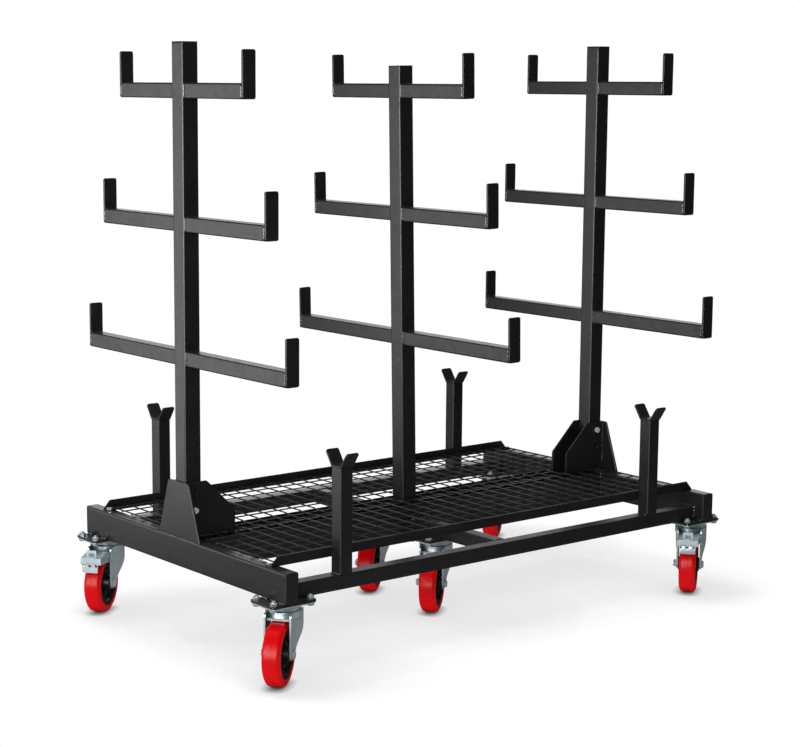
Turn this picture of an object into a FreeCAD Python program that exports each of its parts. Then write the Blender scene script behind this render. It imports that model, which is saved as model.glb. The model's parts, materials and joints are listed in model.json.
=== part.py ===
# Pipe cart: welded steel chassis on six swivel casters, three masts with
# cantilever arms at three levels, mesh deck trays and V-topped stub posts.
# Millimetres.  X runs along the cart, Y across it, Z up.
# Origin: floor level, at the middle of the overall box with the casters trailing
# towards the front left corner.  The dimensions below are measured from the middle
# of the chassis (the axis of the middle mast), which stands at (origin_x, origin_y).
import FreeCAD, Part
import math
import os

V = FreeCAD.Vector
os.makedirs("parts", exist_ok=True)

# ---------------------------------------------------------------- dimensions
origin_x = 24.0                       # middle of the chassis from the origin
origin_y = 24.0

# end beams (rectangular hollow section, along Y)
beam_outer_x = 782.0
beam_w = 40.0
beam_h = 80.0
beam_half_y = 480.0
beam_wall = 3.0
beam_r = 5.0
beam_cap_t = 3.0
frame_z0 = 210.0                      # underside of the chassis
beam_top = frame_z0 + beam_h          # 290
beam_cx = beam_outer_x - beam_w / 2   # 762

# side rails and cross member (square hollow section)
rail = 40.0
rail_wall = 2.5
rail_r = 4.0
rail_y = 425.0
rail_top = frame_z0 + rail            # 250

# open channel along the middle of the chassis, with two upright bars in it
spine_half = 62.0
spine_t = 5.0
spine_top = 289.0
spine_floor = frame_z0 + spine_t      # 215
spine_bar_y = 27.0
spine_bar_t = 6.0

# masts
mast = 50.0
mast_wall = 2.5
mast_r = 4.5
mast_x = 750.0
mast_top_end = 1590.0
mast_cap_t = 3.0
mast_top_mid = 1534.0
mast_mid_gap = 0.8                    # middle mast foot to channel floor, at the mast axis
mast_mid_x = 1.6                      # middle of its foot
mast_mid_lean = 1.3                   # degrees, towards the left end
mast_mid_drop = 4.0                   # its arms sit this much lower
pivot_low_z = 365.0
pivot_high_z = 416.0

# arms and their upturned end bars
arm = 40.0
arm_wall = 2.5
arm_r = 4.0
arm_z = [751.0, 1104.0, 1448.0]       # undersides
arm_len = [461.0, 376.0, 281.0]       # mast axis to the inner face of the end bar
finger_t = 6.0
finger_h = 122.5
finger_r = 6.0

# mast brackets on the end beams
br_outer_x = 781.5
br_t = 6.0
br_top = 441.5
br_top_front = 45.5                    # half width of the outer plate at the top
br_top_back = 50.5
br_half_bot = 97.0
br_gap = 1.0                          # mast face to side plate
br_in_x = 621.0                       # inner end of the side plates
br_flat_x = 712.0                     # where the slope starts at the top
br_step_z = 353.0                     # where the slope ends

# pivot bolts
bolt_r = 5.0
bolt_af = 15.0
spare_hole_r = 6.0
bolt_head = 6.4
bolt_nut = 8.0
run_clear = 0.05

# middle mast spigot, a loose fit inside the mast
spigot = 40.0
spigot_wall = 2.5
spigot_top = spine_floor + 85.0

# deck trays
lip_y = 405.0
lip_leg = 25.0
lip_t = 3.0
lip_h = 26.0
lip_x_top = 751.0
lip_x_bot = 772.0
tray_in_y = 36.0                      # innermost lengthwise wire
wire = 4.0
wire_pitch = 50.0
wire_x_half = 753.0
tray_bolt_y = 387.0

# stub posts with V tops
stub_x = 563.0
stub = 40.0
stub_wall = 2.5
stub_top = 525.0
vee_t = 5.0                           # bent strip on top of each post
vee_rise = 39.0
vee_out = 25.5
vee_bend = 8.0
vee_corner = 6.5

# casters
caster_x = 750.0
caster_y = 427.0
caster_mid_y = 139.0
heading = -142.0                      # direction in which every wheel trails, degrees
trail = 45.0
wheel_r = 82.0
plate_x = 138.0
plate_y = 100.0
mount_t = 6.0
top_t = 4.0
cb_x = 57.0
cb_y = 37.0
race_r = 44.0
crown_r = 45.5
crown_z0 = 166.0
crown_z1 = 187.5
king_r = 7.0
axle_r = 6.0
leg_t = 4.5
leg_in = 31.0
leg_bend_x = 15.0                     # where the flared part of the leg starts
leg_back_x = -28.0
leg_front_x = 57.0
leg_flare = 9.8
leg_low_z = 67.0
hub_r = 58.0
hub_half = 22.5
boss_half = 30.0
boss_r = 20.0
tyre_half = 24.0
pedal_t, pedal_z = 50.0, 152.0        # brake pedal pivot, in the caster's own plane
pedal_pin_r = 4.0

CASTERS = {
    "front_left": (-caster_x, -caster_y),
    "front_right": (caster_x, -caster_y),
    "back_left": (-caster_x, caster_y),
    "back_right": (caster_x, caster_y),
    "mid_front": (0.0, -caster_mid_y),
    "mid_back": (0.0, caster_mid_y),
}
BRAKED = ("back_left", "front_right")


# ---------------------------------------------------------------- helpers
def box(x0, x1, y0, y1, z0, z1):
    return Part.makeBox(x1 - x0, y1 - y0, z1 - z0, V(x0, y0, z0))


def rrect_wire(a, b, r):
    """Rounded rectangle a by b about the origin in XY."""
    ha, hb = a / 2.0, b / 2.0
    k = r * (1 - math.sqrt(0.5))
    p = []
    e = []
    e.append(Part.makeLine(V(-ha + r, -hb, 0), V(ha - r, -hb, 0)))
    e.append(Part.Arc(V(ha - r, -hb, 0), V(ha - k, -hb + k, 0), V(ha, -hb + r, 0)).toShape())
    e.append(Part.makeLine(V(ha, -hb + r, 0), V(ha, hb - r, 0)))
    e.append(Part.Arc(V(ha, hb - r, 0), V(ha - k, hb - k, 0), V(ha - r, hb, 0)).toShape())
    e.append(Part.makeLine(V(ha - r, hb, 0), V(-ha + r, hb, 0)))
    e.append(Part.Arc(V(-ha + r, hb, 0), V(-ha + k, hb - k, 0), V(-ha, hb - r, 0)).toShape())
    e.append(Part.makeLine(V(-ha, hb - r, 0), V(-ha, -hb + r, 0)))
    e.append(Part.Arc(V(-ha, -hb + r, 0), V(-ha + k, -hb + k, 0), V(-ha + r, -hb, 0)).toShape())
    return Part.Wire(e)


def rr_bar(a, b, r, length):
    return Part.Face(rrect_wire(a, b, r)).extrude(V(0, 0, length))


def tube_z(a, b, wall, r, length):
    outer = rr_bar(a, b, r, length)
    inner = rr_bar(a - 2 * wall, b - 2 * wall, max(r - wall, 0.6), length)
    return outer.cut(inner)


def tube_x(h, w, wall, r, x0, x1, y, z):
    """Tube along X; h is its size in Z, w in Y, (y, z) its axis."""
    s = tube_z(h, w, wall, r, x1 - x0)
    s.rotate(V(0, 0, 0), V(0, 1, 0), 90)
    s.translate(V(x0, y, z))
    return s


def tube_y(w, h, wall, r, y0, y1, x, z):
    """Tube along Y; w is its size in X, h in Z, (x, z) its axis."""
    s = tube_z(w, h, wall, r, y1 - y0)
    s.rotate(V(0, 0, 0), V(1, 0, 0), -90)
    s.translate(V(x, y0, z))
    return s


def prism(points, vec):
    pts = [V(*p) for p in points]
    pts.append(pts[0])
    return Part.Face(Part.makePolygon(pts)).extrude(V(*vec))


def cyl(r, h, p, d=(0, 0, 1)):
    return Part.makeCylinder(r, h, V(*p), V(*d))


def hexa(af, h, p, d=(0, 0, 1)):
    """Hexagonal prism, af across flats, from p along d, with a chamfered far end."""
    R = af / math.sqrt(3.0)
    pts = [V(R * math.cos(math.radians(60 * i + 30)), R * math.sin(math.radians(60 * i + 30)), 0)
           for i in range(6)]
    pts.append(pts[0])
    s = Part.Face(Part.makePolygon(pts)).extrude(V(0, 0, h))
    cone = Part.makeCone(af / 2.0 + 1.73 * h, af / 2.0 * 0.96, h)
    s = s.common(cone)
    rot = FreeCAD.Rotation(V(0, 0, 1), V(*d))
    s.Placement = FreeCAD.Placement(V(*p), rot)
    return s


def one(s):
    """The single solid of a shape."""
    s = s.removeSplitter()
    sol = s.Solids
    assert len(sol) == 1, len(sol)
    return sol[0]


def export(name, shapes):
    if not isinstance(shapes, (list, tuple)):
        shapes = [shapes]
    sol = []
    for s in shapes:
        assert len(s.Solids) == 1, (name, len(s.Solids))
        assert s.Solids[0].isValid(), name
        sol.append(s.Solids[0])
    out = sol[0].copy() if len(sol) == 1 else Part.makeCompound(sol)
    out.translate(V(origin_x, origin_y, 0))
    out.exportStep("parts/%s.step" % name)


# ---------------------------------------------------------------- chassis
def end_beam(side):
    s = tube_y(beam_w, beam_h, beam_wall, beam_r,
               -beam_half_y + beam_cap_t, beam_half_y - beam_cap_t,
               side * beam_cx, frame_z0 + beam_h / 2)
    for y in (-tray_bolt_y, tray_bolt_y):
        s = s.cut(cyl(4.0, 20, (side * beam_cx, y, beam_top - 10)))
    return one(s)


export("end_beam_left", end_beam(-1))
export("end_beam_right", end_beam(1))

caps = []
for sx in (-1, 1):
    for sy in (-1, 1):
        c = rr_bar(beam_w, beam_h, beam_r, beam_cap_t)
        far = [e for e in c.Edges if all(abs(v.Z - beam_cap_t) < 1e-6 for v in e.Vertexes)]
        c = c.makeFillet(1.2, far)
        c.rotate(V(0, 0, 0), V(1, 0, 0), -90)
        if sy < 0:
            c.rotate(V(0, 0, 0), V(0, 0, 1), 180)
        c.translate(V(sx * beam_cx, sy * (beam_half_y - beam_cap_t), frame_z0 + beam_h / 2))
        caps.append(one(c))
export("beam_end_caps", caps)

beam_in_x = beam_outer_x - beam_w
for name, y in (("rail_front", -rail_y), ("rail_back", rail_y)):
    export(name, one(tube_x(rail, rail, rail_wall, rail_r, -beam_in_x, beam_in_x, y, frame_z0 + rail / 2)))

# cross member in two halves, from the channel to the side rails
cross_half = rail_y - rail / 2
export("cross_member", [
    one(tube_y(rail, rail, rail_wall, rail_r, -cross_half, -spine_half, 0, frame_z0 + rail / 2)),
    one(tube_y(rail, rail, rail_wall, rail_r, spine_half, cross_half, 0, frame_z0 + rail / 2))])

# channel: floor, two sides and the two bars that the mast brackets stand on
export("spine_channel", [
    box(-beam_in_x, beam_in_x, -spine_half, spine_half, frame_z0, spine_floor),
    box(-beam_in_x, beam_in_x, -spine_half, -spine_half + spine_t, spine_floor, spine_top),
    box(-beam_in_x, beam_in_x, spine_half - spine_t, spine_half, spine_floor, spine_top),
    box(-beam_in_x, beam_in_x, -spine_bar_y - spine_bar_t, -spine_bar_y, spine_floor, beam_top),
    box(-beam_in_x, beam_in_x, spine_bar_y, spine_bar_y + spine_bar_t, spine_floor, beam_top)])

# mast brackets: trapezoid outer plate and two sloped side plates
side_y0 = mast / 2 + br_gap
side_y1 = side_y0 + br_t
plate_in = br_outer_x - br_t


def bracket(side):
    o = prism([(0, -br_half_bot, beam_top), (0, br_half_bot, beam_top),
               (0, br_top_back, br_top), (0, -br_top_front, br_top)], (br_t, 0, 0))
    top_edges = [e for e in o.Edges if len(e.Vertexes) == 2
                 and all(abs(v.Z - br_top) < 1e-6 for v in e.Vertexes)
                 and abs(e.Vertexes[0].Y - e.Vertexes[1].Y) < 1e-6]
    o = o.makeFillet(9.0, top_edges)
    o.translate(V(plate_in, 0, 0))
    out = [o]
    for y in (-side_y1, side_y0):
        s = prism([(br_in_x, y, beam_top), (plate_in, y, beam_top), (plate_in, y, br_top),
                   (br_flat_x, y, br_top), (br_in_x, y, br_step_z)], (0, br_t, 0))
        soft = [e for e in s.Edges if len(e.Vertexes) == 2
                and abs(e.Vertexes[0].X - e.Vertexes[1].X) < 1e-6
                and abs(e.Vertexes[0].Z - e.Vertexes[1].Z) < 1e-6
                and (abs(e.Vertexes[0].X - br_flat_x) < 1e-6 or
                     (abs(e.Vertexes[0].X - br_in_x) < 1e-6 and abs(e.Vertexes[0].Z - br_step_z) < 1e-6))]
        s = s.makeFillet(6.0, soft)
        for z, used in ((pivot_low_z, side < 0), (pivot_high_z, side > 0)):
            s = s.cut(cyl(bolt_r + 0.1 if used else spare_hole_r, br_t + 2, (mast_x, y - 1, z), (0, 1, 0)))
        out.append(s)
    if side < 0:
        out = [s.mirror(V(0, 0, 0), V(1, 0, 0)) for s in out]
    return [one(s) for s in out]


export("bracket_left", bracket(-1))
export("bracket_right", bracket(1))

# pivot bolts: lower hole on the left, upper hole on the right
pb = []
for sx, z in ((-1, pivot_low_z), (1, pivot_high_z)):
    x = sx * mast_x
    shank = cyl(bolt_r, 2 * side_y1 + bolt_nut + 4, (x, -side_y1, z), (0, 1, 0))
    head = hexa(bolt_af, bolt_head, (x, -side_y1, z), (0, -1, 0))
    pb.append(one(shank.fuse(head)))
    nut = hexa(bolt_af, bolt_nut, (x, side_y1, z), (0, 1, 0)).cut(
        cyl(bolt_r, 40, (x, side_y1 - 5, z), (0, 1, 0)))
    pb.append(one(nut))
export("pivot_bolts", pb)

# spigot that the middle mast drops over
sp = tube_z(spigot, spigot, spigot_wall, 4.0, spigot_top - spine_floor)
sp.translate(V(0, 0, spine_floor))
export("centre_spigot", one(sp))

# ---------------------------------------------------------------- deck trays
for name, sy in (("front", -1), ("back", 1)):
    up = prism([(-lip_x_bot, 0, beam_top), (lip_x_bot, 0, beam_top), (lip_x_bot, 0, beam_top + lip_t),
                (lip_x_top, 0, beam_top + lip_h), (-lip_x_top, 0, beam_top + lip_h),
                (-lip_x_bot, 0, beam_top + lip_t)], (0, lip_t, 0))
    up.translate(V(0, lip_y - lip_t, 0))
    flat = box(-lip_x_bot, lip_x_bot, lip_y - lip_leg, lip_y - lip_t, beam_top, beam_top + lip_t)
    lip = up.fuse(flat)
    for x in (-beam_cx, beam_cx):
        lip = lip.cut(cyl(4.0, 20, (x, tray_bolt_y, beam_top - 10)))
    lip = one(lip)
    if sy < 0:
        lip = one(lip.mirror(V(0, 0, 0), V(0, 1, 0)))
    export("tray_%s_lip" % name, lip)

    zx = beam_top + lip_t
    solids = []
    y = tray_in_y
    while y < lip_y - lip_t - wire:
        solids.append(box(-wire_x_half, wire_x_half, y - wire / 2, y + wire / 2, zx, zx + wire))
        y += wire_pitch
    n = int(750 // wire_pitch)
    for i in range(-n, n + 1):
        x = i * wire_pitch
        solids.append(box(x - wire / 2, x + wire / 2, tray_in_y - wire / 2, lip_y - lip_t - 0.2,
                          zx + wire - 1, zx + 2 * wire - 1))
    mesh = solids[0].multiFuse(solids[1:])
    assert len(mesh.Solids) == 1, len(mesh.Solids)
    mesh = mesh.Solids[0]
    if sy < 0:
        mesh = mesh.mirror(V(0, 0, 0), V(0, 1, 0))
    export("tray_%s_mesh" % name, mesh)

# crosswise wires over the channel, left out at the masts
mid = []
for i in range(-n, n + 1):
    x = i * wire_pitch
    if i != 0 and abs(x) < br_in_x - 10:
        mid.append(box(x - wire / 2, x + wire / 2, -tray_in_y + wire / 2, tray_in_y - wire / 2, zx, zx + wire))
export("deck_middle_wires", mid)

tb = []
for x in (-beam_cx, beam_cx):
    for y in (-tray_bolt_y, tray_bolt_y):
        z = beam_top + lip_t
        s = cyl(3.9, 22, (x, y, z - 22)).fuse(hexa(13.0, 5.3, (x, y, z)))
        tb.append(one(s))
export("tray_bolts", tb)

# ---------------------------------------------------------------- stub posts with V tops
def vee_plate():
    """Strip bent to a V with a flat bottom, about the post axis, underside at z = 0."""
    h = stub / 2
    k = math.hypot(vee_out, vee_rise)
    nx, nz = -vee_rise / k * vee_t, vee_out / k * vee_t       # from the outer face to the inner face
    tip_o = (h + vee_out, vee_rise)
    tip_i = (tip_o[0] + nx, tip_o[1] + nz)
    root_y = tip_i[0] - (tip_i[1] - vee_t) * vee_out / vee_rise
    half = [(h, 0.0), tip_o, tip_i, (root_y, vee_t)]
    pts = half + [(-a, b) for a, b in reversed(half)]
    s = prism([(-h, a, b) for a, b in pts], (stub, 0, 0))

    def along_x(p):
        return [e for e in s.Edges if len(e.Vertexes) == 2
                and abs(e.Vertexes[0].X - e.Vertexes[1].X) > 1.0
                and all(abs(abs(v.Y) - p[0]) < 1e-4 and abs(v.Z - p[1]) < 1e-4 for v in e.Vertexes)]

    s = s.makeFillet(vee_bend, along_x((root_y, vee_t)))
    s = s.makeFillet(4.0, along_x((h, 0.0)))
    tips = [e for e in s.Edges if len(e.Vertexes) == 2
            and abs(e.Vertexes[0].X - e.Vertexes[1].X) < 1e-6 and abs(abs(e.Vertexes[0].X) - h) < 1e-6
            and min(v.Z for v in e.Vertexes) > vee_rise - 1e-4 and abs(e.Length - vee_t) < 1e-4]
    assert len(tips) == 4, len(tips)
    return one(s.makeFillet(vee_corner, tips))


posts, vees = [], []
for sx in (-1, 1):
    for sy in (-1, 1):
        x, y = sx * stub_x, sy * rail_y
        p = tube_z(stub, stub, stub_wall, 4.0, stub_top - rail_top)
        p.translate(V(x, y, rail_top))
        posts.append(one(p))
        c = vee_plate()
        c.translate(V(x, y, stub_top))
        vees.append(c)
export("stub_posts", posts)
export("v_fork_plates", vees)

# ---------------------------------------------------------------- masts
arm_lo = mast / 2


def arms_and_fingers(x, drop=0.0):
    arms, fingers = [], []
    for z, length in zip([v - drop for v in arm_z], arm_len):
        for sy in (-1, 1):
            a = tube_y(arm, arm, arm_wall, arm_r, arm_lo, length, x, z + arm / 2)
            f = box(x - arm / 2, x + arm / 2, length, length + finger_t, z, z + finger_h)
            soft = [e for e in f.Edges if len(e.Vertexes) == 2
                    and abs(e.Vertexes[0].X - e.Vertexes[1].X) < 1e-6
                    and abs(e.Vertexes[0].Z - e.Vertexes[1].Z) < 1e-6]
            f = f.makeFillet(finger_r, soft)
            if sy < 0:
                a = a.mirror(V(0, 0, 0), V(0, 1, 0))
                f = f.mirror(V(0, 0, 0), V(0, 1, 0))
            arms.append(one(a))
            fingers.append(one(f))
    return arms, fingers


for name, sx, pz in (("left", -1, pivot_low_z), ("right", 1, pivot_high_z)):
    x = sx * mast_x
    t = tube_z(mast, mast, mast_wall, mast_r, mast_top_end - (pz - mast / 2))
    t.translate(V(x, 0, pz - mast / 2))
    # foot rounded about the pivot so that it clears the outer plate while turning
    keep = box(x - mast, x + mast, -mast, mast, pz, mast_top_end + 1).fuse(
        cyl(mast / 2, 2 * mast, (x, -mast, pz), (0, 1, 0)))
    t = t.common(keep)
    t = t.cut(cyl(bolt_r + run_clear, 2 * mast, (x, -mast, pz), (0, 1, 0)))
    export("mast_%s_tube" % name, one(t))
    c = rr_bar(mast, mast, mast_r, mast_cap_t)
    far = [e for e in c.Edges if all(abs(v.Z - mast_cap_t) < 1e-6 for v in e.Vertexes)]
    c = c.makeFillet(2.0, far)
    c.translate(V(x, 0, mast_top_end))
    export("mast_%s_cap" % name, one(c))
    arms, fingers = arms_and_fingers(x)
    export("mast_%s_arms" % name, arms)
    export("mast_%s_fingers" % name, fingers)

# middle mast: stands in the channel over its spigot, slightly out of plumb
foot_z = spine_floor + mast_mid_gap


def lean(s):
    s = s.copy()
    s.rotate(V(0, 0, foot_z), V(0, 1, 0), -mast_mid_lean)
    s.translate(V(mast_mid_x, 0, 0))
    return s


t = tube_z(mast, mast, mast_wall, mast_r, mast_top_mid - foot_z)
t.translate(V(0, 0, foot_z))
export("mast_centre_tube", lean(one(t)))
arms, fingers = arms_and_fingers(0.0, mast_mid_drop)
export("mast_centre_arms", [lean(s) for s in arms])
export("mast_centre_fingers", [lean(s) for s in fingers])

# ---------------------------------------------------------------- casters
mount_z0 = frame_z0 - mount_t         # 204
top_z0 = mount_z0 - top_t             # 200
mounts, tops, cbolts, races = [], [], [], []
for name, (cx, cy) in CASTERS.items():
    m = rr_bar(plate_x, plate_y, 8.0, mount_t)
    m.translate(V(cx, cy, mount_z0))
    p = rr_bar(plate_x - 2, plate_y - 2, 10.0, top_t)
    p.translate(V(cx, cy, top_z0))
    for i in (-1, 1):
        for j in (-1, 1):
            bx, by = cx + i * cb_x, cy + j * cb_y
            hole = cyl(5.0, 40, (bx, by, top_z0 - 10))
            m = m.cut(hole)
            p = p.cut(hole)
            s = cyl(4.9, 22, (bx, by, top_z0)).fuse(hexa(16.0, 6.4, (bx, by, top_z0), (0, 0, -1)))
            cbolts.append(one(s))
            nut = hexa(16.0, 8.0, (bx, by, frame_z0)).cut(cyl(4.9, 30, (bx, by, frame_z0 - 5)))
            cbolts.append(one(nut))
    mounts.append(one(m))
    tops.append(one(p))
    # fixed half of the swivel: race, king pin and its retaining head
    r = cyl(race_r, top_z0 - 188.0, (cx, cy, 188.0))
    r = r.makeFillet(2.5, [e for e in r.Edges if len(e.Vertexes) == 1 and abs(e.Vertexes[0].Z - 188.0) < 1e-6])
    r = r.fuse(cyl(king_r, top_z0 - 172.0, (cx, cy, 172.0))).fuse(cyl(14.0, 5.0, (cx, cy, 173.0)))
    races.append(one(r))
export("caster_mount_plates", mounts)
export("caster_top_plates", tops)
export("caster_plate_bolts", cbolts)
export("caster_races", races)


def place(s, cx, cy):
    s = s.copy()
    s.rotate(V(0, 0, 0), V(0, 0, 1), heading)
    s.translate(V(cx, cy, 0))
    return s


def fork(braked):
    """Fork in its own frame: x along the trail, y along the axle."""
    crown = cyl(crown_r, crown_z1 - crown_z0, (0, 0, crown_z0))
    low = [e for e in crown.Edges if len(e.Vertexes) == 1 and abs(e.Vertexes[0].Z - crown_z0) < 1e-6]
    crown = crown.makeFillet(6.0, low)
    top = [e for e in crown.Edges if len(e.Vertexes) == 1 and abs(e.Vertexes[0].Z - crown_z1) < 1e-6]
    crown = crown.makeFillet(3.0, top)
    crown = crown.cut(cyl(30.0, 178.5 - crown_z0, (0, 0, crown_z0)))
    crown = crown.cut(cyl(king_r + run_clear, 40, (0, 0, crown_z0 - 10)))
    # side outline of the legs: straight back edge, then curving in to the axle
    zc = wheel_r
    f, b = leg_front_x, leg_back_x
    out = prism([(b, 0, 185.5), (b, 0, 143), (b + 3.5, 0, 132), (b + 9.5, 0, 122.5), (b + 18.5, 0, 113.5),
                 (b + 30, 0, 103), (b + 38.5, 0, 92), (b + 42, 0, 84), (b + 44, 0, 76), (b + 49, 0, leg_low_z + 3.5),
                 (b + 57, 0, leg_low_z + 0.6), (b + 64, 0, leg_low_z), (f - 9, 0, leg_low_z + 0.6), (f - 3, 0, leg_low_z + 4),
                 (f, 0, leg_low_z + 11), (f, 0, 177), (f - 2, 0, 182), (f - 7, 0, 185.5)], (0, 120, 0))
    out.translate(V(0, -60, 0))
    legs = None
    for d in (-1, 1):
        pl = prism([(b - 2, d * (leg_in + leg_flare), 40), (leg_bend_x, d * leg_in, 40), (f + 4, d * leg_in, 40),
                    (f + 4, d * (leg_in + leg_t), 40), (leg_bend_x, d * (leg_in + leg_t), 40),
                    (b - 2, d * (leg_in + leg_flare + leg_t), 40)], (0, 0, 150))
        leg = pl.common(out)
        leg = leg.cut(cyl(axle_r + 0.1, 200, (trail, -100, zc), (0, 1, 0)))
        if braked:
            leg = leg.cut(cyl(pedal_pin_r + run_clear, 200, (pedal_t, -100, pedal_z), (0, 1, 0)))
        legs = leg if legs is None else legs.fuse(leg)
    # web that carries the legs forward of the crown
    web_x = 39.0 if braked else 48.0
    web = prism([(-20, -40, crown_z0 + 0.5), (leg_bend_x, -33, crown_z0 + 0.5), (web_x, -33, crown_z0 + 0.5),
                 (web_x, 33, crown_z0 + 0.5), (leg_bend_x, 33, crown_z0 + 0.5), (-20, 40, crown_z0 + 0.5)], (0, 0, 6))
    web = web.cut(cyl(30.0, 60, (0, 0, 150)))
    s = crown.fuse(legs).fuse(web)
    return one(s)


def axle():
    half = leg_in + leg_t
    shank = cyl(axle_r, 2 * half + 10, (trail, -half - 10, wheel_r), (0, 1, 0))
    head = hexa(18.0, 7.5, (trail, half, wheel_r), (0, 1, 0))
    bolt = one(shank.fuse(head))
    nut = one(hexa(18.0, 8.5, (trail, -half, wheel_r), (0, -1, 0)).cut(
        cyl(axle_r, 200, (trail, -100, wheel_r), (0, 1, 0))))
    return [bolt, nut]


def revolve_about_axle(profile):
    """Revolve (y, r) points about the axle."""
    pts = [V(trail, y, wheel_r + r) for y, r in profile]
    pts.append(pts[0])
    f = Part.Face(Part.makePolygon(pts))
    return f.revolve(V(trail, 0, wheel_r), V(0, 1, 0), 360)


def hub():
    b = axle_r + run_clear
    prof = [(-boss_half, b), (boss_half, b), (boss_half, boss_r), (hub_half - 9, boss_r + 3), (hub_half - 9, hub_r - 12),
            (hub_half, hub_r - 9), (hub_half, hub_r), (-hub_half, hub_r), (-hub_half, hub_r - 9), (-hub_half + 9, hub_r - 12),
            (-hub_half + 9, boss_r + 3), (-boss_half, boss_r)]
    return one(revolve_about_axle(prof))


def tyre():
    half = [(tyre_half - 1.5, hub_r), (tyre_half, hub_r + 3), (tyre_half, wheel_r - 7.5), (tyre_half - 0.8, wheel_r - 4.2),
            (tyre_half - 2.6, wheel_r - 1.8), (tyre_half - 5.4, wheel_r - 0.4), (tyre_half - 9.0, wheel_r)]
    return one(revolve_about_axle(half + [(-y, r) for y, r in reversed(half)]))


def pedal():
    """Stepped brake pedal: a pressed channel on a yoke between the fork legs."""
    a0, a1 = 26.5, 30.0
    s = None
    for d in (-1, 1):
        y = a0 if d > 0 else -a1
        w = a1 - a0
        armp = prism([(pedal_t - 4, y, pedal_z - 7), (100, y, 151.5), (112, y, 151), (125, y, 153), (125, y, 171), (110, y, 172.5),
                      (98, y, 174.5), (62, y, 178), (pedal_t + 2, y, 173), (pedal_t - 6, y, pedal_z + 5)], (0, w, 0))
        armp = armp.fuse(cyl(8.0, w, (pedal_t, y, pedal_z), (0, 1, 0)))
        pin = cyl(pedal_pin_r, 4.2, (pedal_t, d * a1, pedal_z), (0, d, 0))
        armp = armp.fuse(pin)
        # rivet through the cheek
        armp = armp.fuse(cyl(4.0, 1.2, (69, d * a1, 166.5), (0, d, 0)))
        s = armp if s is None else s.fuse(armp)
    body = box(122, 125, -a1, a1, 153, 171)
    # closed top of the channel, sloping to the tab
    lid = prism([(58, -a1, 173.0), (98, -a1, 171.5), (112, -a1, 168.5), (125, -a1, 168.0), (125, -a1, 171.0), (112, -a1, 171.5),
                 (98, -a1, 174.5), (58, -a1, 176.0)], (0, 2 * a1, 0))
    tab = box(115, 118, -14.5, 14.5, 168.5, 192)
    tab = tab.cut(box(110, 120, -8.2, 8.2, 174.5, 183.5))
    tab = tab.makeFillet(3.0, [e for e in tab.Edges if abs(e.Vertexes[0].Z - 192) < 1e-6 and abs(e.Vertexes[-1].Z - 192) < 1e-6
                               and abs(e.Vertexes[0].X - e.Vertexes[-1].X) > 1.0])
    ledge_dn = box(122, 131, -23, 23, 150, 153.5)
    low = box(128.5, 131, -23, 23, 131, 153.5)
    low = low.makeFillet(4.0, [e for e in low.Edges if abs(e.Vertexes[0].Z - 131) < 1e-6 and abs(e.Vertexes[-1].Z - 131) < 1e-6
                               and abs(e.Vertexes[0].X - e.Vertexes[-1].X) > 1.0])
    s = s.fuse([body, lid, tab, ledge_dn, low])
    for y, w in ((-18.5, 3.2), (0.0, 4.4), (18.5, 3.2)):
        s = s.cut(box(125.0, 135, y - w, y + w, 147.5, 155))
    return one(s)


shapes = {True: fork(True), False: fork(False)}
ax, hb, ty, pd = axle(), hub(), tyre(), pedal()
for name, (cx, cy) in CASTERS.items():
    export("caster_%s_fork" % name, place(shapes[name in BRAKED], cx, cy))
    export("caster_%s_axle" % name, [place(s, cx, cy) for s in ax])
    export("caster_%s_hub" % name, place(hb, cx, cy))
    export("caster_%s_tyre" % name, place(ty, cx, cy))
    if name in BRAKED:
        export("caster_%s_pedal" % name, place(pd, cx, cy))
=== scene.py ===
import json
import math
import random

import bmesh
import bpy
from mathutils import Matrix, Vector

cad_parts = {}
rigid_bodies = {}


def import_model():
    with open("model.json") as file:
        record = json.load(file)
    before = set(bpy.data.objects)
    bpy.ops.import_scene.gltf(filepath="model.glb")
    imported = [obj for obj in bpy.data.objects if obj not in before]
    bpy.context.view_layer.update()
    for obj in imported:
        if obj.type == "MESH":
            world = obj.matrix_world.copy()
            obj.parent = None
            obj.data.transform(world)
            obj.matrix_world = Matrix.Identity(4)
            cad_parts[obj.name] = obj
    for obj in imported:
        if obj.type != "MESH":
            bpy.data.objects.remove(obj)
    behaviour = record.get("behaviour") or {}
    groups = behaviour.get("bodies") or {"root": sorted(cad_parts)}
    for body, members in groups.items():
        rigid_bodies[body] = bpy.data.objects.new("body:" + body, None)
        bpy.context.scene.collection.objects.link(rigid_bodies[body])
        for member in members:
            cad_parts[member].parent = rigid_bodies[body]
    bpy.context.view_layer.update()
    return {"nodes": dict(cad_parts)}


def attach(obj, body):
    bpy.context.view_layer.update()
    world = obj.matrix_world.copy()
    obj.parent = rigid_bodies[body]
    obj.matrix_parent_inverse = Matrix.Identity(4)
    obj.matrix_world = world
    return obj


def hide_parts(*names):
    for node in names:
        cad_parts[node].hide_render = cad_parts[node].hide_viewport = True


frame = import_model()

nodes = frame["nodes"]
scene = bpy.context.scene
rng = random.Random(11)

# middle of the chassis in the row frame, metres
OX, OY = 0.024, 0.024


def W(x, y, z):
    """Chassis millimetres to row-frame metres."""
    return Vector((x * 0.001 + OX, y * 0.001 + OY, z * 0.001))


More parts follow.
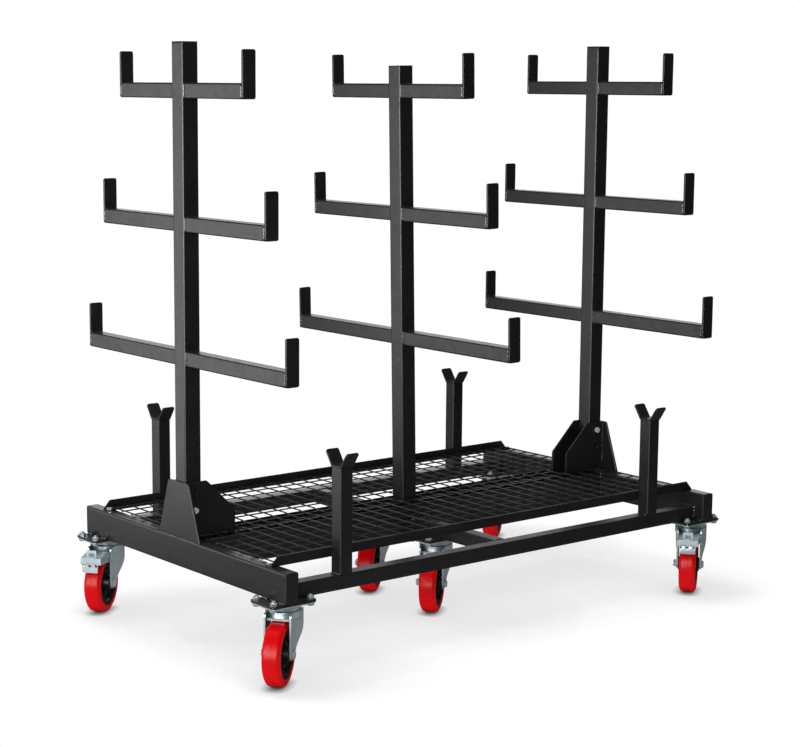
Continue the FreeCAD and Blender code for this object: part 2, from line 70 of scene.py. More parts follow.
# ------------------------------------------------------------------ node helpers
class Tree:
    def __init__(self, name):
        self.mat = bpy.data.materials.new(name)
        self.mat.use_nodes = True
        self.nt = self.mat.node_tree
        self.bsdf = next(n for n in self.nt.nodes if n.type == "BSDF_PRINCIPLED")
        self.coord = self.nt.nodes.new("ShaderNodeTexCoord")

    def node(self, kind, **inputs):
        n = self.nt.nodes.new(kind)
        for k, v in inputs.items():
            n.inputs[k.replace("_", " ")].default_value = v
        return n

    def link(self, a, b):
        self.nt.links.new(a, b)

    def noise(self, scale, detail=3.0, rough=0.55, stretch=None, out="Fac"):
        n = self.node("ShaderNodeTexNoise", Scale=scale, Detail=detail, Roughness=rough)
        src = self.coord.outputs["Object"]
        if stretch:
            m = self.nt.nodes.new("ShaderNodeMapping")
            m.inputs["Scale"].default_value = stretch
            self.link(src, m.inputs["Vector"])
            src = m.outputs["Vector"]
        self.link(src, n.inputs["Vector"])
        return n.outputs[out]

    def ramp(self, fac, stops):
        r = self.nt.nodes.new("ShaderNodeValToRGB")
        els = r.color_ramp.elements
        while len(els) < len(stops):
            els.new(0.5)
        for e, (pos, col) in zip(els, stops):
            e.position = pos
            e.color = (*col, 1.0) if len(col) == 3 else col
        self.link(fac, r.inputs["Fac"])
        return r.outputs["Color"]

    def span(self, value, lo, hi, to_lo, to_hi):
        m = self.nt.nodes.new("ShaderNodeMapRange")
        m.inputs["From Min"].default_value = lo
        m.inputs["From Max"].default_value = hi
        m.inputs["To Min"].default_value = to_lo
        m.inputs["To Max"].default_value = to_hi
        self.link(value, m.inputs["Value"])
        return m.outputs["Result"]

    def math(self, op, a, b):
        m = self.nt.nodes.new("ShaderNodeMath")
        m.operation = op
        for i, v in enumerate((a, b)):
            if isinstance(v, (int, float)):
                m.inputs[i].default_value = v
            else:
                self.link(v, m.inputs[i])
        return m.outputs[0]

    def mix(self, fac, a, b):
        m = self.nt.nodes.new("ShaderNodeMix")
        m.data_type = "RGBA"
        self.link(fac, m.inputs["Factor"])
        for key, v in (("A", a), ("B", b)):
            sock = [s for s in m.inputs if s.name == key and s.type == "RGBA"][0]
            if isinstance(v, tuple):
                sock.default_value = (*v, 1.0)
            else:
                self.link(v, sock)
        return [s for s in m.outputs if s.type == "RGBA"][0]

    def bump(self, layers, prev=None):
        """layers: (height, strength, distance) chained."""
        for h, strength, dist in layers:
            b = self.node("ShaderNodeBump", Strength=strength, Distance=dist)
            self.link(h, b.inputs["Height"])
            if prev is not None:
                self.link(prev, b.inputs["Normal"])
            prev = b.outputs["Normal"]
        self.link(prev, self.bsdf.inputs["Normal"])

    def rounded(self, radius, samples=6):
        b = self.node("ShaderNodeBevel", Radius=radius)
        b.samples = samples
        return b.outputs["Normal"]

    def recess(self, distance, samples=8):
        """1 in the open, falling towards 0 deep in corners and slots."""
        a = self.node("ShaderNodeAmbientOcclusion", Distance=distance)
        a.samples = samples
        return a.outputs["AO"]

    def up(self):
        g = self.nt.nodes.new("ShaderNodeNewGeometry")
        s = self.nt.nodes.new("ShaderNodeSeparateXYZ")
        self.link(g.outputs["Normal"], s.inputs["Vector"])
        return s.outputs["Z"]


def powder_coat(name, dark, light, rough=(0.27, 0.35), dust=0.25):
    """Satin black powder coat: orange peel, faint cloudy colour, a little dust on what faces up."""
    t = Tree(name)
    cloud = t.noise(7.0, 4.0, 0.6)
    base = t.ramp(cloud, [(0.30, dark), (0.70, light)])
    speck = t.noise(420.0, 2.0, 0.5)
    speck_mask = t.span(speck, 0.70, 0.78, 0.0, 0.30)
    base = t.mix(speck_mask, base, (0.055, 0.055, 0.056))
    lying = t.span(t.up(), 0.75, 1.0, 0.0, 1.0)
    patch = t.span(t.noise(22.0, 5.0, 0.65), 0.45, 0.70, 0.0, dust)
    base = t.mix(t.math("MULTIPLY", lying, patch), base, (0.060, 0.060, 0.058))
    t.link(base, t.bsdf.inputs["Base Color"])
    t.link(t.span(t.noise(34.0, 4.0, 0.6), 0.3, 0.7, *rough), t.bsdf.inputs["Roughness"])
    t.bump([(t.noise(820.0, 2.0, 0.45), 0.16, 0.0004), (t.noise(140.0, 2.0, 0.5), 0.06, 0.0008)], t.rounded(0.004))
    return t.mat


def zinc(name, tint=(0.59, 0.705, 0.735), rough=(0.29, 0.34), metal=0.55, shade=0.88):
    """Bright zinc plate with a faint blue-to-straw passivation cast, fine drawing marks and painted shade in its
    recesses; shade sets how dark the painted shade gets.
    """
    t = Tree(name)
    t.bsdf.inputs["Metallic"].default_value = metal
    cast = t.noise(24.0, 2.0, 0.5)
    warm = (tint[0] * 1.03, tint[1] * 1.00, tint[2] * 0.98)
    cool = (tint[0] * 0.96, tint[1] * 0.99, tint[2] * 1.01)
    base = t.ramp(cast, [(0.30, cool), (0.52, tint), (0.74, warm)])
    spots = t.span(t.noise(120.0, 3.0, 0.6), 0.64, 0.84, 0.0, 0.10)
    base = t.mix(spots, base, (0.46, 0.54, 0.56))
    # painted shade: the colour darkens towards a dark teal in recesses, corners and slots
    base = t.mix(t.span(t.recess(0.045), 0.25, 0.92, shade, 0.0), base, (0.055, 0.095, 0.105))
    t.link(base, t.bsdf.inputs["Base Color"])
    t.link(t.span(t.noise(70.0, 4.0, 0.6), 0.3, 0.7, *rough), t.bsdf.inputs["Roughness"])
    t.bump([(t.noise(90.0, 2.0, 0.5, (1.0, 1.0, 4.0)), 0.02, 0.0004)])
    return t.mat


def red_pu(name):
    """Cast polyurethane: saturated red, soft gloss, faint flow clouds and rolling scuffs."""
    t = Tree(name)
    flow = t.noise(16.0, 4.0, 0.6)
    base = t.ramp(flow, [(0.30, (0.690, 0.0014, 0.0034)), (0.72, (0.750, 0.0020, 0.0046))])
    scuff = t.span(t.noise(95.0, 5.0, 0.7), 0.62, 0.82, 0.0, 0.08)
    base = t.mix(scuff, base, (0.560, 0.0016, 0.0036))
    t.link(base, t.bsdf.inputs["Base Color"])
    t.link(t.span(t.noise(60.0, 4.0, 0.6), 0.3, 0.7, 0.25, 0.28), t.bsdf.inputs["Roughness"])
    t.bsdf.inputs["Specular IOR Level"].default_value = 0.11
    t.bsdf.inputs["Subsurface Weight"].default_value = 0.06
    t.bsdf.inputs["Subsurface Radius"].default_value = (0.004, 0.0006, 0.0004)
    t.bump([(t.noise(360.0, 3.0, 0.5), 0.010, 0.0003)])
    return t.mat


def black_nylon(name):
    t = Tree(name)
    base = t.ramp(t.noise(24.0, 3.0, 0.6), [(0.35, (0.0035, 0.0035, 0.0038)), (0.68, (0.0085, 0.0085, 0.0088))])
    t.link(base, t.bsdf.inputs["Base Color"])
    t.link(t.span(t.noise(120.0, 3.0, 0.6), 0.3, 0.7, 0.30, 0.44), t.bsdf.inputs["Roughness"])
    t.bsdf.inputs["Specular IOR Level"].default_value = 0.30
    t.bump([(t.noise(900.0, 2.0, 0.5), 0.12, 0.0003)])
    return t.mat


M_coat = powder_coat("coat_black", (0.0092, 0.0083, 0.0090), (0.0152, 0.0140, 0.0149))
M_wire = powder_coat("coat_black_wire", (0.0095, 0.0095, 0.0100), (0.0170, 0.0170, 0.0175), (0.28, 0.40), 0.2)
M_cap = powder_coat("coat_black_cap", (0.0080, 0.0080, 0.0084), (0.0125, 0.0125, 0.0130), (0.42, 0.54), 0.3)
M_weld = powder_coat("coat_black_weld", (0.0100, 0.0100, 0.0104), (0.0160, 0.0160, 0.0164), (0.12, 0.24), 0.2)
M_weld.node_tree.nodes["Principled BSDF"].inputs["Specular IOR Level"].default_value = 1.0
M_zinc = zinc("zinc_pressed")
# pedal zinc: a darker copy of the zinc, painted shade over the whole pedal
M_zinc_pedal_shaded = zinc("zinc_pedal", (0.43, 0.505, 0.525), (0.36, 0.42), 0.45)
# pivot bolt zinc: a lighter, matte copy of the zinc with little painted shade, painted light on the bolt heads
M_zinc_dome_lit = zinc("zinc_dome", (0.68, 0.84, 0.94), (0.17, 0.23), 0.25, 0.15)
M_zinc_bright = zinc("zinc_fastener", (0.70, 0.79, 0.82), (0.15, 0.24), 0.60, 0.60)
M_red = red_pu("polyurethane_red")
M_hub = black_nylon("nylon_black")

# ------------------------------------------------------------------ CAD nodes: finish and softened edges
CASTERS = {
    "front_left": (-750.0, -427.0),
    "front_right": (750.0, -427.0),
    "back_left": (-750.0, 427.0),
    "back_right": (750.0, 427.0),
    "mid_front": (0.0, -139.0),
    "mid_back": (0.0, 139.0),
}
BRAKED = ("back_left", "front_right")

for name, ob in nodes.items():
    if name.endswith("_tyre"):
        m = M_red
    elif name.endswith("_hub"):
        m = M_hub
    elif name == "pivot_bolts":
        m = M_zinc_dome_lit
    elif name in ("caster_plate_bolts", "tray_bolts") or name.endswith("_axle"):
        m = M_zinc_bright
    elif name.endswith("_pedal"):
        m = M_zinc_pedal_shaded
    elif name.endswith("_fork") or name in ("caster_top_plates", "caster_races"):
        m = M_zinc
    elif name.endswith("_cap") or name == "beam_end_caps":
        m = M_cap
    else:
        m = M_coat
    ob.data.materials.clear()
    ob.data.materials.append(m)


def soften(name, width, angle=32.0, segments=2):
    ob = nodes[name]
    w = ob.modifiers.new("weld", "WELD")
    w.merge_threshold = 0.00002
    d = ob.modifiers.new("flat", "DECIMATE")
    d.decimate_type = "DISSOLVE"
    d.angle_limit = math.radians(0.4)
    b = ob.modifiers.new("edge", "BEVEL")
    b.width = width
    b.segments = segments
    b.limit_method = "ANGLE"
    b.angle_limit = math.radians(angle)
    b.use_clamp_overlap = True
    b.harden_normals = False


# ------------------------------------------------------------------ mesh helpers
def add_mesh(name, verts, faces, mat, body, smooth=40.0):
    me = bpy.data.meshes.new(name)
    me.from_pydata([tuple(v) for v in verts], [], faces)
    me.validate()
    me.update()
    ob = bpy.data.objects.new(name, me)
    scene.collection.objects.link(ob)
    me.materials.append(mat)
    me.shade_smooth()
    me.set_sharp_from_angle(angle=math.radians(smooth))
    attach(ob, body)
    return ob


class Soup:
    """Collects closed shells into one mesh."""

    def __init__(self):
        self.v, self.f = [], []

    def add(self, verts, faces):
        o = len(self.v)
        self.v += [Vector(p) for p in verts]
        self.f += [tuple(i + o for i in f) for f in faces]

    def tube(self, path, radii, sides=10, closed=False, squash=None):
        """Tube along path with a radius per point; squash = (direction, factor), not used."""
        n = len(path)
        rings = []
        up = None
        for i, p in enumerate(path):
            a = path[(i - 1) % n] if (closed or i > 0) else path[0]
            b = path[(i + 1) % n] if (closed or i < n - 1) else path[-1]
            t = (b - a).normalized()
            if up is None:
                up = t.orthogonal().normalized()
            up = (up - t * up.dot(t))
            up = up.normalized() if up.length > 1e-9 else t.orthogonal().normalized()
            side = t.cross(up)
            ring = []
            for k in range(sides):
                c = 2 * math.pi * k / sides
                d = up * math.cos(c) + side * math.sin(c)
                ring.append(p + d * radii[i])
            rings.append(ring)
        verts = [q for r in rings for q in r]
        faces = []
        last = n if closed else n - 1
        for i in range(last):
            j = (i + 1) % n
            for k in range(sides):
                l = (k + 1) % sides
                faces.append((i * sides + k, i * sides + l, j * sides + l, j * sides + k))
        if not closed:
            faces.append(tuple(range(sides - 1, -1, -1)))
            faces.append(tuple((n - 1) * sides + k for k in range(sides)))
        self.add(verts, faces)

    def rod(self, a, b, r, sides=12, round_end=0.0006):
        d = (b - a).normalized()
        self.tube([a, a + d * round_end, b - d * round_end, b], [r - round_end, r, r, r - round_end], sides)

    def blob(self, c, rx, ry, rz, seg=10, rows=6):
        verts = [c + Vector((0, 0, rz))]
        for i in range(1, rows):
            th = math.pi * i / rows
            for k in range(seg):
                ph = 2 * math.pi * k / seg
                verts.append(c + Vector((rx * math.sin(th) * math.cos(ph), ry * math.sin(th) * math.sin(ph), rz * math.cos(th))))
        verts.append(c - Vector((0, 0, rz)))
        faces = []
        for k in range(seg):
            faces.append((0, 1 + k, 1 + (k + 1) % seg))
        for i in range(rows - 2):
            for k in range(seg):
                a = 1 + i * seg + k
                b = 1 + i * seg + (k + 1) % seg
                faces.append((a, a + seg, b + seg, b))
        o = 1 + (rows - 2) * seg
        for k in range(seg):
            faces.append((o + k, len(verts) - 1, o + (k + 1) % seg))
        self.add(verts, faces)

    def make(self, name, mat, body, smooth=40.0):
        return add_mesh(name, self.v, self.f, mat, body, smooth)


def bead(soup, pts, r, closed=False, pitch=0.0042, step=0.0011, wander=0.12):
    """Rippled weld bead along a polyline of points."""
    seg = list(zip(pts, pts[1:] + ([pts[0]] if closed else [])))
    if not closed:
        seg = seg[: len(pts) - 1]
    path = []
    for a, b in seg:
        n = max(1, int((b - a).length / step))
        for i in range(n):
            path.append(a.lerp(b, i / n))
    if not closed:
        path.append(pts[-1])
    s = rng.random() * pitch
    radii = []
    jitter = 1.0
    for i, p in enumerate(path):
        if i:
            s += (p - path[i - 1]).length
        ph = (s / pitch) % 1.0
        if ph < 0.25 and rng.random() < 0.3:
            jitter = 1.0 + wander * (rng.random() * 2 - 1)
        ripple = 0.90 + 0.14 * math.sqrt(max(0.0, 1 - (2 * ph - 1) ** 2))
        end = 1.0
        if not closed:
            e = min(i, len(path) - 1 - i) * step
            end = min(1.0, 0.45 + e / (r * 1.6))
        radii.append(r * ripple * jitter * end)
    soup.tube(path, radii, 9, closed)


# ------------------------------------------------------------------ weld beads
beam_top, beam_in, beam_out = 290.0, 742.0, 782.0
weld = Soup()
for sx in (-1, 1):
    for y0 in (-425.0, 425.0):
        x = sx * (beam_in - 0.6)
        loop = [(y0 - 20.6, 213.0), (y0 - 20.6, 246.5), (y0 - 19.4, 249.4), (y0 - 16.5, 250.6),
                (y0 + 16.5, 250.6), (y0 + 19.4, 249.4), (y0 + 20.6, 246.5), (y0 + 20.6, 213.0)]
        bead(weld, [W(x, y, z) for y, z in loop], 0.0030)
    for sy in (-1, 1):
        # bracket: base of the outer plate, side plates, upright seam
        bead(weld, [W(sx * 781.4, -sy * 1.0, 288.8), W(sx * 781.4, sy * 95.0, 288.8)], 0.0027)
        bead(weld, [W(sx * 774.9, sy * 35.5, 290.6), W(sx * 774.9, sy * 95.0, 290.6)], 0.0026)
        bead(weld, [W(sx * 771.0, sy * 32.6, 290.6), W(sx * 746.0, sy * 32.6, 290.6)], 0.0026)
        for a, b in ((738.0, 706.0), (694.0, 668.0), (655.0, 624.0)):
            bead(weld, [W(sx * a, sy * 32.9, 290.4), W(sx * b, sy * 32.9, 290.4)], 0.0024, wander=0.35)
        # channel sides on the end beam
        bead(weld, [W(sx * (beam_in - 0.7), sy * 62.7, 213.0), W(sx * (beam_in - 0.7), sy * 62.7, 287.0)], 0.0030)
        bead(weld, [W(sx * 774.9, sy * 32.6, 296.0), W(sx * 774.9, sy * 32.6, 340.0)], 0.0024)
        bead(weld, [W(sx * 774.9, sy * 32.6, 356.0), W(sx * 774.9, sy * 32.6, 432.0)], 0.0022)
        # stub post bases
        x0, y0 = sx * 563.0, sy * 425.0
        for d in (-1, 1):
            bead(weld, [W(x0 + d * 20.6, y0 - 16.0, 250.6), W(x0 + d * 20.6, y0 + 16.0, 250.6)], 0.0028)
            bead(weld, [W(x0 - 16.0, y0 + d * 19.4, 250.0), W(x0 + 16.0, y0 + d * 19.4, 250.0)], 0.0016)
        # V strip on the post
        for d in (-1, 1):
            bead(weld, [W(x0 + d * 19.6, y0 - 15.0, 524.6), W(x0 + d * 19.6, y0 + 15.0, 524.6)], 0.0013)
        # caster mounting plates under the beams
        cy = sy * 427.0
        for xx in (781.0, 743.0):
            for a, b in ((-46.0, -22.0), (-8.0, 14.0), (26.0, 46.0)):
                if xx < 750 and abs(a) < 30:
                    continue
                bead(weld, [W(sx * xx, cy + a, 211.2), W(sx * xx, cy + b, 211.2)], 0.0030)
for sy in (-1, 1):
    for d in (-1, 1):
        bead(weld, [W(d * 20.6, sy * 404.4, 213.0), W(d * 20.6, sy * 404.4, 248.0)], 0.0028)
        bead(weld, [W(d * 20.2, sy * 95.0, 211.2), W(d * 20.2, sy * 125.0, 211.2)], 0.0028)
        bead(weld, [W(d * 20.2, sy * 152.0, 211.2), W(d * 20.2, sy * 182.0, 211.2)], 0.0028)
    bead(weld, [W(-16.0, sy * 405.0, 249.4), W(16.0, sy * 405.0, 249.4)], 0.0018)
    # cross member halves on the channel
    bead(weld, [W(-20.6, sy * 62.7, 213.0), W(-20.6, sy * 62.7, 245.0), W(-18.0, sy * 62.9, 249.2), W(-14.0, sy * 62.9, 250.5),
                W(14.0, sy * 62.9, 250.5), W(18.0, sy * 62.9, 249.2), W(20.6, sy * 62.7, 245.0), W(20.6, sy * 62.7, 213.0)], 0.0030)
weld.make("chassis_weld_beads", M_weld, "chassis", 60.0)

arm_z = (751.0, 1104.0, 1448.0)
arm_len = (461.0, 376.0, 281.0)
LEAN, FOOT_X, FOOT_Z = math.radians(1.3), 1.6, 215.8


def lean_back(p):
    """The middle mast's lean towards the left end, about its foot."""
    o = W(0.0, 0.0, FOOT_Z)
    q = Matrix.Rotation(-LEAN, 3, "Y") @ (p - o)
    return o + q + Vector((FOOT_X * 0.001, 0.0, 0.0))


for side, mx in (("left", -750.0), ("centre", 0.0), ("right", 750.0)):
    s = Soup()
    for z, length in zip(arm_z, arm_len):
        z -= 4.0 if side == "centre" else 0.0
        for sy in (-1, 1):
            y = sy * 25.5
            loop = [(-20.5, 4.0), (-19.3, 1.0), (-16.5, -0.5), (16.5, -0.5), (19.3, 1.0), (20.5, 4.0),
                    (20.5, 36.0), (19.3, 39.0), (16.5, 40.5), (-16.5, 40.5), (-19.3, 39.0), (-20.5, 36.0)]
            bead(s, [W(mx + a, y, z + b) for a, b in loop], 0.0020, closed=True)
            bead(s, [W(mx - 17.0, sy * (length - 0.5), z + 40.5), W(mx + 17.0, sy * (length - 0.5), z + 40.5)], 0.0019)
            for d in (-1, 1):
                bead(s, [W(mx + d * 19.9, sy * (length - 0.9), z + 4.0), W(mx + d * 19.9, sy * (length - 0.9), z + 36.0)], 0.0023)
    if side == "centre":
        s.v = [lean_back(p) for p in s.v]
    s.make("mast_%s_weld_beads" % side, M_weld, "mast_" + side, 60.0)

# ------------------------------------------------------------------ welded wire deck, round wires
for name, sy in (("front", -1), ("back", 1)):
    s = Soup()
    ys = [386.0 - 50.0 * i for i in range(8)]
    for y in ys:
        s.rod(W(-753.0, sy * y, 295.0), W(753.0, sy * y, 295.0), 0.0020, 12)
    for i in range(-15, 16):
        x = i * 50.0
        s.rod(W(x, sy * 34.0, 298.0), W(x, sy * 401.7, 298.0), 0.0020, 12)
        s.blob(W(x, sy * 399.8, 296.3), 0.0030, 0.0021, 0.0030, 8, 4)
    ob = s.make("tray_%s_wires" % name, M_wire, "chassis", 50.0)
    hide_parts("tray_%s_mesh" % name)
s = Soup()
for i in range(-12, 13):
    if i:
        x = i * 50.0
        s.rod(W(x, -36.0, 295.0), W(x, 36.0, 295.0), 0.0020, 12)
        for y in (-34.4, 34.4):
            s.blob(W(x, y, 295.2), 0.0027, 0.0021, 0.0017, 8, 4)
ob = s.make("middle_wires", M_wire, "chassis", 50.0)
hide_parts("deck_middle_wires")

# ------------------------------------------------------------------ wheels
phi = math.radians(-142.0)
T = Vector((math.cos(phi), math.sin(phi), 0.0))
N = Vector((-math.sin(phi), math.cos(phi), 0.0))
TRAIL, WR = 45.0, 82.0


def C(name, x, y, z):
    """Caster millimetres (x along the trail, y along the axle) to row-frame metres."""
    cx, cy = CASTERS[name]
    return W(cx, cy, 0.0) + T * (x * 0.001) + N * (y * 0.001) + Vector((0, 0, z * 0.001))


def revolve(name, profile, seg=128):
    """Closed (y, r) profile about the axle of a caster."""
    verts, faces = [], []
    n = len(profile)
    for i in range(seg):
        a = 2 * math.pi * i / seg
        ca, sa = math.cos(a), math.sin(a)
        for y, r in profile:
            verts.append(C(name, TRAIL + r * ca, y, WR + r * sa))
    for i in range(seg):
        j = (i + 1) % seg
        for k in range(n):
            l = (k + 1) % n
            faces.append((i * n + k, i * n + l, j * n + l, j * n + k))
    return verts, faces


def arc(cy, cr, rad, a0, a1, n):
    return [(cy + rad * math.cos(math.radians(a0 + (a1 - a0) * i / n)),
             cr + rad * math.sin(math.radians(a0 + (a1 - a0) * i / n))) for i in range(n + 1)]


half = [(0.0, 81.92), (0.35, 81.99), (0.7, 81.94), (6.0, 81.96), (13.0, 81.93), (16.0, 81.7), (18.0, 81.1), (19.4, 80.1),
        (22.6, 75.2), (23.5, 73.2), (24.0, 70.6), (24.0, 65.6), (23.7, 64.2), (23.0, 63.2), (21.6, 62.8), (21.6, 58.0)]
tyre_prof = half + [(-y, r) for y, r in reversed(half) if y > 0.01]

hub_half = [(21.5, 57.9), (21.7, 62.3), (22.3, 62.4), (22.5, 61.8), (22.5, 57.2), (22.0, 56.7), (22.0, 50.4), (21.4, 49.5),
            (15.4, 47.0), (13.9, 45.6), (13.5, 43.6), (13.5, 25.8), (14.2, 23.9), (16.0, 22.9), (28.6, 20.1), (29.6, 19.6), (30.0, 18.6),
            (30.0, 13.6), (29.2, 13.0), (29.2, 8.0), (30.0, 7.4), (30.0, 6.06)]
hub_prof = hub_half + [(-y, r) for y, r in reversed(hub_half)]

for name in CASTERS:
    v, f = revolve(name, tyre_prof, 144)
    ob = add_mesh("tyre_%s" % name, v, f, M_red, "wheel_" + name, 38.0)
    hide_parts("caster_%s_tyre" % name)
    s = Soup()
    v, f = revolve(name, hub_prof, 96)
    s.add(v, f)
    # radial ribs in the dish on both faces
    for sy in (-1, 1):
        for k in range(10):
            a = math.radians(36.0 * k + (18.0 if sy < 0 else 0.0))
            rad = (math.cos(a), math.sin(a))
            tan = (-math.sin(a), math.cos(a))

            def pt(r, w, y):
                return C(name, TRAIL + r * rad[0] + w * tan[0], sy * y, WR + r * rad[1] + w * tan[1])

            ring = []
            for r, top in ((22.0, 22.5), (34.0, 18.6), (47.2, 18.2)):
                ring.append([pt(r, -2.0, 13.2), pt(r, -1.7, top - 0.8), pt(r, -1.0, top), pt(r, 1.0, top),
                             pt(r, 1.7, top - 0.8), pt(r, 2.0, 13.2)])
            verts = [q for rr in ring for q in rr]
            faces = []
            for i in range(2):
                for q in range(6):
                    p = (q + 1) % 6
                    faces.append((i * 6 + q, i * 6 + p, (i + 1) * 6 + p, (i + 1) * 6 + q))
            faces.append((5, 4, 3, 2, 1, 0))
            faces.append(tuple(12 + q for q in range(6)))
            s.add(verts, faces)
    ob = s.make("hub_%s" % name, M_hub, "wheel_" + name, 35.0)
    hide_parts("caster_%s_hub" % name)

# ------------------------------------------------------------------ softened edges on the sheet and bar pieces
for n in ("bracket_left", "bracket_right", "v_fork_plates", "caster_mount_plates", "caster_top_plates",
          "mast_left_fingers", "mast_right_fingers", "mast_centre_fingers", "tray_front_lip", "tray_back_lip", "spine_channel"):
    soften(n, 0.0008)
for k in CASTERS:
    soften("caster_%s_fork" % k, 0.0009)
for k in BRAKED:
    soften("caster_%s_pedal" % k, 0.0006)

# ------------------------------------------------------------------ floor
bm = bmesh.new()
R_FLOOR = 1.9
seg = 96
centre = bm.verts.new((OX, OY, 0.0))
ring = [bm.verts.new((OX + R_FLOOR * math.cos(2 * math.pi * i / seg), OY + R_FLOOR * math.sin(2 * math.pi * i / seg), 0.0))
        for i in range(seg)]
for i in range(seg):
    bm.faces.new((centre, ring[i], ring[(i + 1) % seg]))
me = bpy.data.meshes.new("floor")
bm.to_mesh(me)
bm.free()
floor = bpy.data.objects.new("floor", me)
scene.collection.objects.link(floor)
floor.location.z = -0.0004
fm = bpy.data.materials.new("floor_pale")
fm.use_nodes = True
nt = fm.node_tree
nt.nodes.clear()
f_out = nt.nodes.new("ShaderNodeOutputMaterial")
# pale floor that glows: part of its light is emission painted into it, so the cart's shadow on it stays pale
f_dif = nt.nodes.new("ShaderNodeBsdfDiffuse")
f_em = nt.nodes.new("ShaderNodeEmission")
# painted contact shadow: close under the wheels both the diffuse colour and the glow are darkened
f_contact_shadow = nt.nodes.new("ShaderNodeAmbientOcclusion")
f_contact_shadow.samples = 12
f_contact_shadow.inputs["Distance"].default_value = 0.024
# painted shadow: under the whole cart the floor's glow is dimmed evenly
f_wide = nt.nodes.new("ShaderNodeAmbientOcclusion")
f_wide.samples = 16
f_wide.inputs["Distance"].default_value = 0.42
# the painted shadow leans as if the light came a little from the left and the back
f_lean = nt.nodes.new("ShaderNodeCombineXYZ")
f_lean.inputs["X"].default_value = -0.43
f_lean.inputs["Y"].default_value = 0.15
f_lean.inputs["Z"].default_value = 0.890
nt.links.new(f_lean.outputs["Vector"], f_wide.inputs["Normal"])
f_painted_shadow = nt.nodes.new("ShaderNodeMapRange")
f_painted_shadow.interpolation_type = "SMOOTHSTEP"
f_painted_shadow.inputs["From Min"].default_value = 0.79
f_painted_shadow.inputs["From Max"].default_value = 0.91
f_painted_shadow.inputs["To Min"].default_value = 0.80
f_painted_shadow.inputs["To Max"].default_value = 1.0
nt.links.new(f_wide.outputs["AO"], f_painted_shadow.inputs["Value"])
f_own = nt.nodes.new("ShaderNodeMath")
f_own.operation = "MULTIPLY"
nt.links.new(f_painted_shadow.outputs["Result"], f_own.inputs[0])
nt.links.new(f_own.outputs[0], f_em.inputs["Strength"])
for f_sock, f_level in ((f_dif.inputs["Color"], 0.10), (f_own.inputs[1], 0.92)):
    f_mul = nt.nodes.new("ShaderNodeMath")
    f_mul.operation = "MULTIPLY"
    f_mul.inputs[1].default_value = f_level
    nt.links.new(f_contact_shadow.outputs["AO"], f_mul.inputs[0])
    nt.links.new(f_mul.outputs[0], f_sock)
f_add = nt.nodes.new("ShaderNodeAddShader")
nt.links.new(f_dif.outputs[0], f_add.inputs[0])
nt.links.new(f_em.outputs[0], f_add.inputs[1])
# reflections on the cart see a dark surround
f_lp = nt.nodes.new("ShaderNodeLightPath")
f_dark = nt.nodes.new("ShaderNodeBsdfDiffuse")
f_dark.inputs["Color"].default_value = (0.09, 0.09, 0.09, 1)
f_mix = nt.nodes.new("ShaderNodeMixShader")
nt.links.new(f_lp.outputs["Is Glossy Ray"], f_mix.inputs["Fac"])
nt.links.new(f_add.outputs[0], f_mix.inputs[1])
nt.links.new(f_dark.outputs[0], f_mix.inputs[2])
# the table runs out softly into the white surround
f_tc = nt.nodes.new("ShaderNodeTexCoord")
f_len = nt.nodes.new("ShaderNodeVectorMath")
f_len.operation = "DISTANCE"
f_len.inputs[1].default_value = (OX, OY, 0.0)
nt.links.new(f_tc.outputs["Object"], f_len.inputs[0])
f_rng = nt.nodes.new("ShaderNodeMapRange")
f_rng.interpolation_type = "SMOOTHSTEP"
f_rng.inputs["From Min"].default_value = 1.15
f_rng.inputs["From Max"].default_value = 1.85
nt.links.new(f_len.outputs["Value"], f_rng.inputs["Value"])
f_clear = nt.nodes.new("ShaderNodeBsdfTransparent")
f_end = nt.nodes.new("ShaderNodeMixShader")
nt.links.new(f_rng.outputs["Result"], f_end.inputs["Fac"])
nt.links.new(f_mix.outputs[0], f_end.inputs[1])
nt.links.new(f_clear.outputs[0], f_end.inputs[2])
nt.links.new(f_end.outputs[0], f_out.inputs["Surface"])
floor.data.materials.append(fm)

# ------------------------------------------------------------------ light
world = bpy.data.worlds.new("studio")
scene.world = world
world.use_nodes = True
nt = world.node_tree
nt.nodes.clear()
out = nt.nodes.new("ShaderNodeOutputWorld")
dim = nt.nodes.new("ShaderNodeBackground")
dim.inputs["Color"].default_value = (1.0, 1.0, 1.0, 1)
dim.inputs["Strength"].default_value = 0.05
white = nt.nodes.new("ShaderNodeBackground")
white.inputs["Color"].default_value = (1.0, 1.0, 1.0, 1)
white.inputs["Strength"].default_value = 1.02
lp = nt.nodes.new("ShaderNodeLightPath")
mix = nt.nodes.new("ShaderNodeMixShader")
nt.links.new(lp.outputs["Is Camera Ray"], mix.inputs["Fac"])
nt.links.new(dim.outputs[0], mix.inputs[1])
nt.links.new(white.outputs[0], mix.inputs[2])
nt.links.new(mix.outputs[0], out.inputs["Surface"])


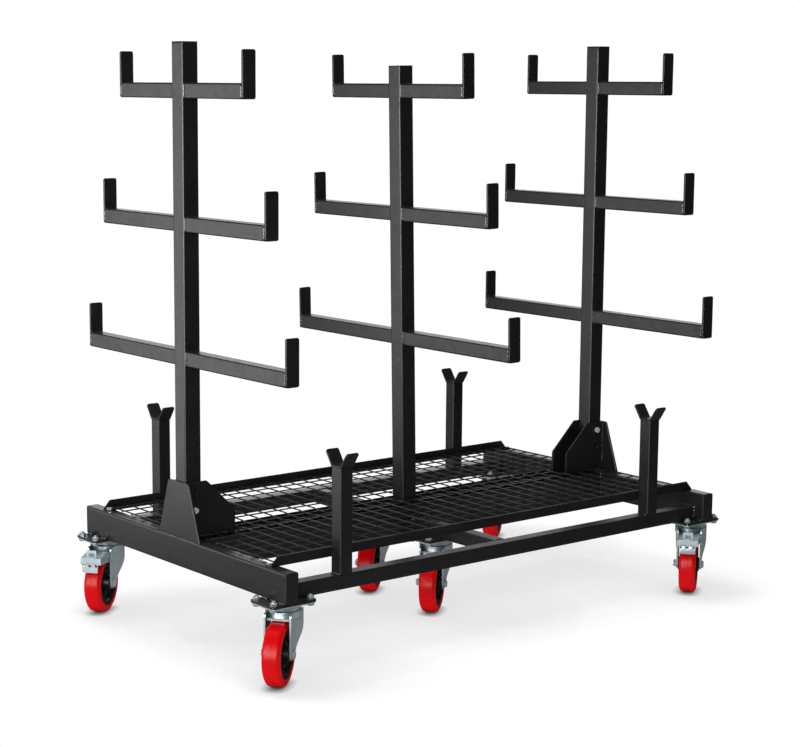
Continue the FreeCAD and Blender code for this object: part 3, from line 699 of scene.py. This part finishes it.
def area(name, loc, look, sx, sy, power, spread=180.0):
    d = bpy.data.lights.new(name, "AREA")
    d.shape = "RECTANGLE"
    d.size, d.size_y = sx, sy
    d.energy = power
    d.spread = math.radians(spread)
    o = bpy.data.objects.new(name, d)
    scene.collection.objects.link(o)
    o.location = loc
    o.rotation_euler = (Vector(look) - Vector(loc)).to_track_quat("-Z", "Y").to_euler()
    return o


top = area("overhead", (0.2, 0.6, 4.3), (0.0, 0.0, 0.0), 4.4, 4.2, 265.0)
top.visible_glossy = False
area("left_back", (-2.7, 2.1, 0.8), (-0.3, 0.0, 0.7), 2.0, 2.2, 30.0)
area("back", (3.0, 4.3, 1.9), (0.2, 0.0, 1.0), 6.0, 3.0, 62.0)
area("left", (-4.2, -1.2, 2.0), (-0.3, 0.0, 0.6), 1.1, 2.0, 42.0)
area("front", (-2.9, -3.0, 1.8), (-0.4, 0.0, 0.7), 0.5, 1.1, 42.0)
card = area("front_card", (-4.2, -1.75, 0.95), (0.0, 0.0, 0.95), 3.6, 1.7, 235.0)
card.visible_diffuse = False
for o in scene.objects:
    if o.type == "LIGHT":
        o.visible_camera = False

# ------------------------------------------------------------------ camera at the photograph's angle (800 x 747)
cam_d = bpy.data.cameras.new("camera")
cam = bpy.data.objects.new("camera", cam_d)
scene.collection.objects.link(cam)
scene.camera = cam
yaw, pitch, roll = math.radians(36.8120), math.radians(8.8131), math.radians(0.0174)
F = Vector((math.cos(pitch) * math.sin(yaw), math.cos(pitch) * math.cos(yaw), -math.sin(pitch)))
r0 = Vector((math.cos(yaw), -math.sin(yaw), 0.0))
u0 = Vector((math.sin(pitch) * math.sin(yaw), math.sin(pitch) * math.cos(yaw), math.cos(pitch)))
R2 = r0 * math.cos(roll) + u0 * math.sin(roll)
U2 = -r0 * math.sin(roll) + u0 * math.cos(roll)
m = Matrix.Identity(4)
for i in range(3):
    m[i][0], m[i][1], m[i][2] = R2[i], U2[i], -F[i]
m.translation = W(-3523.67, -4201.88, 1508.33)
cam.matrix_world = m
cam_d.sensor_width = 36.0
cam_d.lens = 36.0 * 1927.61 / 800.0
cam_d.shift_x = 0.125                 # the photograph is cropped to the right of its optical axis
cam_d.clip_end = 100.0

scene.view_settings.view_transform = "Standard"
scene.view_settings.look = "None"
